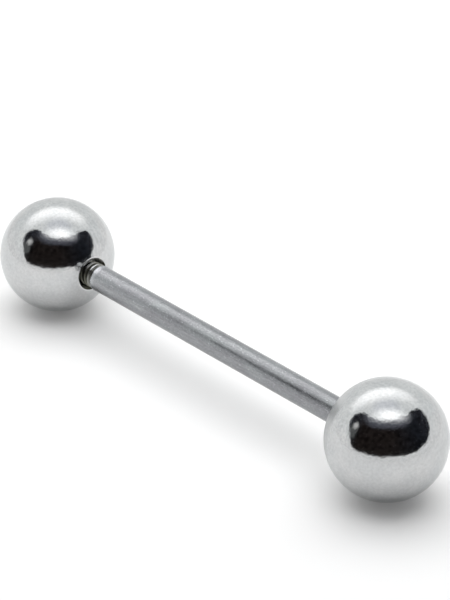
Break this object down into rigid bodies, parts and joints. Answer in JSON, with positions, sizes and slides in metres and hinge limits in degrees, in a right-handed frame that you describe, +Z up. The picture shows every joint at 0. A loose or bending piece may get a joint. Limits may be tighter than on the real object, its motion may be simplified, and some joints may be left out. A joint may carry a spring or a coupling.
{
  "type": "tongue barbell",
  "caption": "Straight satin steel post with a mirror-polished screw-on ball at each end, worn through a tongue piercing.",
  "frame": {"origin": "midway between the two balls, on the surface that they rest on", "axes": "+X along the post towards ball_right, +Z up from the surface, +Y across the post"},
  "size_m": [0.0356, 0.007, 0.007],
  "materials": {
    "satin_steel": "satin, drawn lengthwise",
    "polished_steel": "mirror polished"
  },
  "bodies": {
    "post": {"post": "satin_steel"},
    "ball_left": {"ball_left": "polished_steel"},
    "ball_right": {"ball_right": "polished_steel"}
  },
  "joints": [
    {"name": "ball_left_unscrew", "type": "slide", "parent": "post", "child": "ball_left", "axis": [-1, 0, 0], "range_m": [0, 0.005]},
    {"name": "ball_right_unscrew", "type": "slide", "parent": "post", "child": "ball_right", "axis": [1, 0, 0], "range_m": [0, 0.005]}
  ]
}
